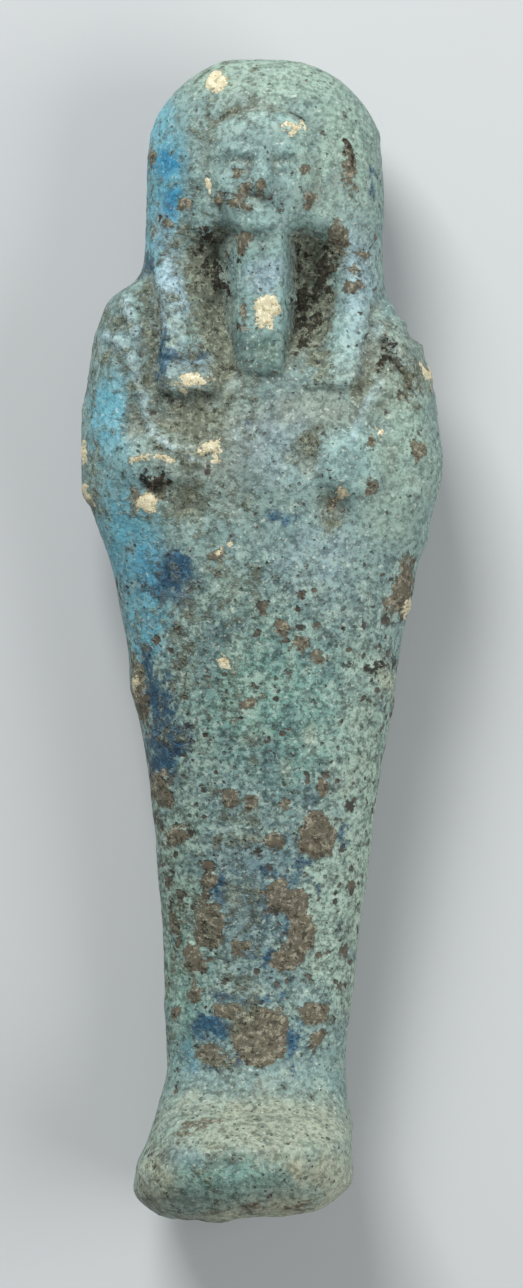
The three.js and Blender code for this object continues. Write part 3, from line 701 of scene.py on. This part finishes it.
def wash(x, y):
    """Sage, each wash where its hill is high, a painted highlight along the hoes, and the share of fresh blue
    glaze.
    """
    colour = np.broadcast_to(linear(SAGE), (*x.shape, 3))
    fresh = np.zeros_like(x)
    for tint, cx, cy, rx, ry, strength in WASHES:
        cover = strength * step(0.02, 0.9, hill(x, y, cx, cy, rx, ry) + 0.14 * shake[..., 0])
        colour = mix(colour, linear(tint), cover[..., None])
        fresh = mix(fresh, float(tint in (SKY, AZURE)), cover)
    for path, *_ in HOES:
        # A painted highlight along each hoe's ridge.
        colour = mix(colour, linear(HOE_HIGHLIGHT), 0.5 * ridge(path, 0.35, X, Y)[..., None])
    return colour, fresh * is_front


glaze, fresh = wash(X + 0.8 * shake[..., 0] + 0.4 * coarse, Y + 0.8 * shake[..., 1])
# Painted highlight on the raised parts and painted shade in the hollows, besides the rubbed wear and the soil
# film's brown.
glaze = glaze * (1 + 0.4 * rubbed_and_highlight - 0.25 * soil_film_and_shade)[..., None]
glaze = mix(glaze, linear(UMBER), (0.35 * soil_film_and_shade * is_front)[..., None])
specked = mix(0.45, 1.0, span(-36, 6, 5, Y)) * (1 - 0.5 * fresh)  # most on the legs, few in fresh glaze
print("the glaze's mean colour in linear light is", glaze.mean((0, 1)).round(3))

# %% [markdown]
# ## The figure's mesh
# The grid becomes a mesh of four-sided faces, closed at the crown and the sole by a fan of triangles to one
# point each. It is moved so that its box has the same middle as the solid it clothes, and turned into
# metres. The depths inside the places of wear, the shares of fresh and of specked glaze, and the washes go
# with it as attributes, one value to each vertex, for the material to read.

# %% Build the piece
def closed_grid(points):
    """Faces of a grid that closes around, and fans to an extra vertex at each end."""
    count, around = points.shape[:2]
    number = np.arange(count * around).reshape(count, around)
    here, ahead = number, np.roll(number, -1, 1)
    quads = np.stack([here[:-1], here[1:], ahead[1:], ahead[:-1]], -1).reshape(-1, 4)
    sole, crown = count * around, count * around + 1
    fans = [
        np.stack([np.full(around, sole), here[0], ahead[0]], -1),
        np.stack([np.full(around, crown), ahead[-1], here[-1]], -1),
    ]
    return quads.tolist() + np.concatenate(fans).tolist()


def with_ends(field):
    """A grid of values as a list, with the mean of the first and last rows for the two end points."""
    flat = field.reshape(-1, *field.shape[2:])
    return np.concatenate([flat, field[0].mean(0)[None], field[-1].mean(0)[None]])


vertices = with_ends(worn)
vertices[-2:] = [(0, SOLE, SOLE_CENTRE), (0, CROWN, DOME_CENTRE)]
vertices[:, :2] += ((low + high) / 2 - (vertices.min(0) + vertices.max(0)) / 2)[:2]
vertices = np.clip(vertices, low, high)
mesh = bpy.data.meshes.new("faience_figure")
mesh.from_pydata((vertices / 1000).tolist(), [], closed_grid(worn))
mesh.polygons.foreach_set("use_smooth", np.ones(len(mesh.polygons), bool))
depths = {"bare": bare, "chips": chips, "navy": navy, "soil": soil, "cracks": cracks}
shares = {"fresh": fresh, "specked": specked}
for name, field in {**depths, **shares}.items():
    mesh.attributes.new(name, "FLOAT", "POINT").data.foreach_set("value", with_ends(field))
rgba = np.concatenate([with_ends(glaze), np.ones((len(vertices), 1))], 1)
mesh.attributes.new("glaze", "FLOAT_COLOR", "POINT").data.foreach_set("color", rgba.ravel())
mesh.update()
figure = bpy.data.objects.new("faience_figure", mesh)
bpy.context.scene.collection.objects.link(figure)
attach(figure, "root")
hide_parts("figure")
size = vertices.max(0) - vertices.min(0)
print("the figure has", len(mesh.vertices), "vertices and measures", size.round(2), "mm")

# %% [markdown]
# ## Weathered faience
# Faience is glazed quartz paste. Weathering leaves a matt, grainy skin: white quartz grains, dark pinholes
# where gas escaped in firing, and brown specks where the glaze is gone. The material starts from the washes
# and lays each of these over it, by noise at its real size: half a millimetre to one for the grains, and
# up to four and a half for the clouds.

# %% A material of layers
def add(tree, kind, settings=None, **links):
    """Adds a node, sets its properties, and sets or links its inputs by name or number."""
    node = tree.nodes.new(kind)
    for name, value in (settings or {}).items():
        setattr(node, name, value)
    for name, value in links.items():
        socket = node.inputs[int(name[1:])] if name[0] == "i" and name[1:].isdigit() else node.inputs[name]
        if isinstance(value, bpy.types.NodeSocket):
            tree.links.new(value, socket)
        else:
            socket.default_value = value
    return node


faience = bpy.data.materials.new("weathered_faience")
faience.use_nodes = True
tree = faience.node_tree
tree.nodes.clear()
place = add(tree, "ShaderNodeTexCoord").outputs["Object"]


def per_mm(size):
    """The scale that repeats a pattern once in that many millimetres."""
    return 1000.0 / size


def speckle(size, detail=2.0, coarseness=0.5, offset=0.0):
    """Noise of that size in millimetres, from 0 to 1, moved along so that no two are alike."""
    moved = add(tree, "ShaderNodeVectorMath", {"operation": "ADD"}, i0=place, i1=(offset, offset, offset))
    look = {"Scale": per_mm(size), "Detail": detail, "Roughness": coarseness}
    return add(tree, "ShaderNodeTexNoise", None, Vector=moved.outputs[0], **look).outputs["Fac"]


def ramp(value, start, end, first=0.0, last=1.0):
    """A smooth step of a value: first at the start and last at the end."""
    node = add(tree, "ShaderNodeMapRange", {"interpolation_type": "SMOOTHSTEP"}, Value=value)
    for name, number in {"From Min": start, "From Max": end, "To Min": first, "To Max": last}.items():
        node.inputs[name].default_value = number
    return node.outputs[0]


def math(operation, a, b):
    """a and b joined by an operation."""
    return add(tree, "ShaderNodeMath", {"operation": operation}, i0=a, i1=b).outputs[0]


def layer(under, over, cover, blend="MIX"):
    """A colour laid over another, as far as it covers."""
    under, over = ((*linear(c), 1) if isinstance(c, str) else c for c in (under, over))
    node = add(tree, "ShaderNodeMix", {"data_type": "RGBA", "blend_type": blend}, i0=cover, i6=under, i7=over)
    return node.outputs[2]


def attribute(name):
    """One of the figure's own attributes: the depth inside a place in millimetres, or a share."""
    return add(tree, "ShaderNodeAttribute", {"attribute_name": name}).outputs["Fac"]


grain = speckle(0.55, 5, 0.75)
sand = speckle(0.6, 4, 0.75, 3.3)
grit = speckle(0.9, 4, 0.7, 0.2)
mottle = speckle(1.6, 5, 0.65, 0.3)
cloud = speckle(4.5, 4, 0.6, 0.7)
print("so far the faience has", len(tree.nodes), "nodes")

# %% [markdown]
# ## Specks and pinholes
# Pinholes and specks are scattered points. A Voronoi texture gives the distance to the nearest of a set of
# random points, and a random colour for each: small distances make dots, and the colour gives each dot its
# own size. The places are first shaken by noise, so that the dots aren't round. The figure's own share of
# specks and a broad noise thin them out in some parts.

# %% Dots from distances
def dots(apart, radius, softness, shaken, offset, share=1.0):
    """1 within up to a radius, times a share, of random points about so many millimetres apart.

    The lattice of points is turned away from the figure's own axes, so that no rows of dots show.
    """
    jitter = add(tree, "ShaderNodeTexNoise", None, Vector=place, Scale=per_mm(0.6), Detail=2.0)
    jitter = jitter.outputs["Color"]
    shift = add(tree, "ShaderNodeVectorMath", {"operation": "SCALE"}, i0=jitter, Scale=shaken / 1000)
    moved = add(tree, "ShaderNodeVectorMath", {"operation": "ADD"}, i0=place, i1=shift.outputs[0]).outputs[0]
    turned = add(tree, "ShaderNodeVectorRotate", None, Vector=moved, Axis=(1, 2, 3), Angle=0.7 + offset)
    points = add(tree, "ShaderNodeTexVoronoi", None, Vector=turned.outputs[0], Scale=per_mm(apart))
    own = add(tree, "ShaderNodeSeparateColor", None, Color=points.outputs["Color"]).outputs[0]
    size = math("MULTIPLY", math("MULTIPLY", own, radius / apart), share)
    return ramp(math("SUBTRACT", size, points.outputs["Distance"]), -softness / apart, softness / apart)


PINHOLE, SMALL_SPECK, SPECK = 0.22, 0.3, 0.72  # the largest radii, in millimetres
thinned = math("MULTIPLY", attribute("specked"), ramp(speckle(6.0, 3, 0.6, 1.3), 0.36, 0.56, 0.5, 1.1))
pinholes = dots(1.2, PINHOLE, 0.05, 0.3, 0.11, ramp(cloud, 0.62, 0.42, 0.5, 1.0))
large_specks = dots(1.9, SPECK, 0.12, 1.5, 0.47, thinned)
specks = math("MAXIMUM", large_specks, dots(1.0, SMALL_SPECK, 0.07, 0.6, 0.83, thinned))
halos = dots(1.9, SPECK, 0.45, 1.5, 0.47, thinned)
crystals = ramp(speckle(0.36, 1, 0.5, 2.1), 0.62, 0.74)
print("pinholes are up to", 2 * PINHOLE, "mm across, and specks up to", 2 * SPECK, "mm")

# %% [markdown]
# ## Laying the layers
# The order is that of the object's own history: the glaze with its weathering, specks and pooled dark blue,
# then the losses down to the brown skin, the soil that packed the hollows, and the younger chips down to the
# cream core. Last the cracks are painted near black, as the shade inside them. Each place's depth gets noise
# added before it becomes a cover, so that its edge breaks up into grains.

# %% Colour
colour = add(tree, "ShaderNodeAttribute", {"attribute_name": "glaze"}).outputs["Color"]
half_fresh = math("MULTIPLY", attribute("fresh"), 0.5)
weathered = math("MULTIPLY", attribute("specked"), math("SUBTRACT", 1.0, half_fresh))
for noise_value, start, end, tint, strength in (
    (cloud, 0.5, 0.68, "#435e68", 0.6),
    (cloud, 0.48, 0.34, "#a2b8a8", 0.5),
    (mottle, 0.52, 0.66, "#394d4f", 0.62),
    (mottle, 0.48, 0.37, "#adc4b5", 0.5),
    (grit, 0.53, 0.63, "#3b4b4b", 0.45),
    (grit, 0.47, 0.38, "#bfd0c3", 0.28),
):
    colour = layer(colour, tint, math("MULTIPLY", ramp(noise_value, start, end, 0.0, strength), weathered))
grain_shade = layer("#a2a6a5", "#ffffff", ramp(grain, 0.4, 0.56))
colour = layer(colour, grain_shade, ramp(weathered, 0.0, 1.0, 0.6, 1.0), "MULTIPLY")
DULLED = (0.85, 0.85, 0.85, 1)  # old glaze is a little darker than its washes
colour = layer(colour, DULLED, 1.0, "MULTIPLY")
colour = layer(colour, "#d3d9c9", math("MULTIPLY", crystals, 0.35))
colour = layer(colour, "#3f5556", math("MULTIPLY", halos, 0.35))
speck_colour = layer("#2b251e", "#554b3c", ramp(mottle, 0.42, 0.6))
colour = layer(colour, speck_colour, math("MULTIPLY", specks, 0.95))
colour = layer(colour, "#2c302d", math("MULTIPLY", pinholes, 0.7))


def broken(name, grains, patches, softness):
    """The cover of a place: its depth with fine and coarse noise added, in a smooth step across its edge."""
    shaken = math("ADD", math("MULTIPLY", grit, grains), math("MULTIPLY", mottle, patches))
    shaken = math("SUBTRACT", shaken, (grains + patches) / 2)
    return ramp(math("ADD", attribute(name), shaken), -softness, softness)


def grainy(base, light, dark):
    """A base colour with light grains and dark hollows."""
    return layer(layer(base, light, ramp(grain, 0.5, 0.6)), dark, ramp(sand, 0.48, 0.39))


navy_cover = broken("navy", 3.0, 2.6, 0.5)
colour = layer(colour, grainy("#173f56", "#34617a", "#142a3e"), math("MULTIPLY", navy_cover, 0.94))
bare_cover = broken("bare", 2.2, 1.3, 0.12)
colour = layer(colour, grainy("#5d5748", "#8d8774", "#3f392e"), math("MULTIPLY", bare_cover, 0.95))
soil_cover = broken("soil", 3.5, 2.2, 0.6)
colour = layer(colour, grainy("#5d6152", "#888e7a", "#2a2a20"), math("MULTIPLY", soil_cover, 0.87))
chip_cover = broken("chips", 2.0, 0.8, 0.06)
colour = layer(colour, grainy("#bfb798", "#dad4bb", "#9d9273"), chip_cover)
# The cracks' near black is painted shade inside them.
crack_shade_cover = broken("cracks", 5.0, 1.8, 0.16)
colour = layer(colour, grainy("#24221a", "#474235", "#12110c"), math("MULTIPLY", crack_shade_cover, 0.96))

# %% [markdown]
# ## Relief and sheen
# Grains and pits too fine for the mesh become a bump. Its parts are given in tenths of a millimetre, up for
# grains and down for pits and losses. Weathered glaze has only a faint sheen left, and the bare skin, the
# core and the soil have next to none. Glaze and quartz both have a refractive index of about 1.5.

# %% Bump and shader
raised = [(grain, 0.5), (grit, 0.9), (mottle, 1.0)]
sunk = [(pinholes, -1.4), (specks, -1.0), (bare_cover, -0.8), (chip_cover, -0.8)]
height = math("MULTIPLY", math("MULTIPLY", soil_cover, grit), 1.2)
for part, tenths in raised + sunk:
    height = math("ADD", height, math("MULTIPLY", part, tenths))
bump = add(tree, "ShaderNodeBump", None, Height=height, Distance=0.0001, Strength=1.0).outputs[0]
matt = math("MAXIMUM", math("MAXIMUM", bare_cover, chip_cover), soil_cover)
roughness = ramp(matt, 0.0, 1.0, 0.6, 0.95)
shader = add(tree, "ShaderNodeBsdfPrincipled", None, Roughness=roughness, Normal=bump, IOR=1.5)
tree.links.new(colour, shader.inputs["Base Color"])
shader.inputs["Specular IOR Level"].default_value = 0.35
add(tree, "ShaderNodeOutputMaterial", None, Surface=shader.outputs[0])
mesh.materials.append(faience)
print("the faience has", len(tree.nodes), "nodes")

# %% [markdown]
# ## Floor and light
# The figure lies on plain matt paper, which gives the eye only a soft shadow. A soft light stands beyond the
# head to the left, a wider and weaker one fills from the right, and a pale world lifts the shadows. Light
# from the side is what shows low relief.

# %% Floor and lights
FLOOR = 1.5  # half its length, in metres
floor_mesh = bpy.data.meshes.new("floor")
floor_corners = [(x * FLOOR, y * FLOOR, 0) for x, y in ((-1, -1), (1, -1), (1, 1), (-1, 1))]
floor_mesh.from_pydata(floor_corners, [], [(0, 1, 2, 3)])
floor = bpy.data.objects.new("floor", floor_mesh)
bpy.context.scene.collection.objects.link(floor)
paper = bpy.data.materials.new("matt_paper")
paper.use_nodes = True
paper_shader = paper.node_tree.nodes["Principled BSDF"]
paper_shader.inputs["Base Color"].default_value = (*linear("#b6b9ba"), 1)
paper_shader.inputs["Roughness"].default_value = 0.9
floor_mesh.materials.append(paper)


def soft_light(name, size, watts, stand, aim=(0, 0, 0.01)):
    """A square lamp of that size in metres, standing at one point and turned to face another."""
    lamp = bpy.data.lights.new(name, "AREA")
    lamp.size, lamp.energy = size, watts
    shown = bpy.data.objects.new(name, lamp)
    bpy.context.scene.collection.objects.link(shown)
    shown.location = stand
    shown.rotation_euler = (Vector(aim) - Vector(stand)).to_track_quat("-Z", "Y").to_euler()


soft_light("key", 0.3, 6.0, (-0.2, 0.5, 0.42))
soft_light("fill", 0.5, 3.0, (0.5, -0.1, 0.36))
world = bpy.data.worlds.new("studio")
bpy.context.scene.world = world
world.use_nodes = True
world.node_tree.nodes["Background"].inputs["Color"].default_value = (*linear("#e8eef2"), 1)
world.node_tree.nodes["Background"].inputs["Strength"].default_value = 0.3

# %% [markdown]
# ## The camera
# The figure is looked at from straight above, with its head at the top. The lens is long, as it is for small
# objects, so that the toes don't loom over the rest. The picture's height is set at the figure's outline,
# which lies about a centimetre above the floor.

# %% Camera
LENS, SENSOR = 150.0, 36.0
FRAME_HEIGHT = 0.1229  # metres shown from top to bottom, at the level of the figure's outline
EDGE_HEIGHT = 0.0095  # metres from the floor up to that level
camera_data = bpy.data.cameras.new("camera")
camera_data.lens, camera_data.sensor_width = LENS, SENSOR
camera_data.clip_start, camera_data.clip_end = 0.01, 10
camera = bpy.data.objects.new("camera", camera_data)
camera.location = (-0.00005, -0.0004, EDGE_HEIGHT + FRAME_HEIGHT * LENS / SENSOR)
bpy.context.scene.collection.objects.link(camera)
bpy.context.scene.camera = camera
bpy.context.scene.view_settings.view_transform = "Standard"
print("the camera is", round(camera.location.z, 3), "m above the floor")
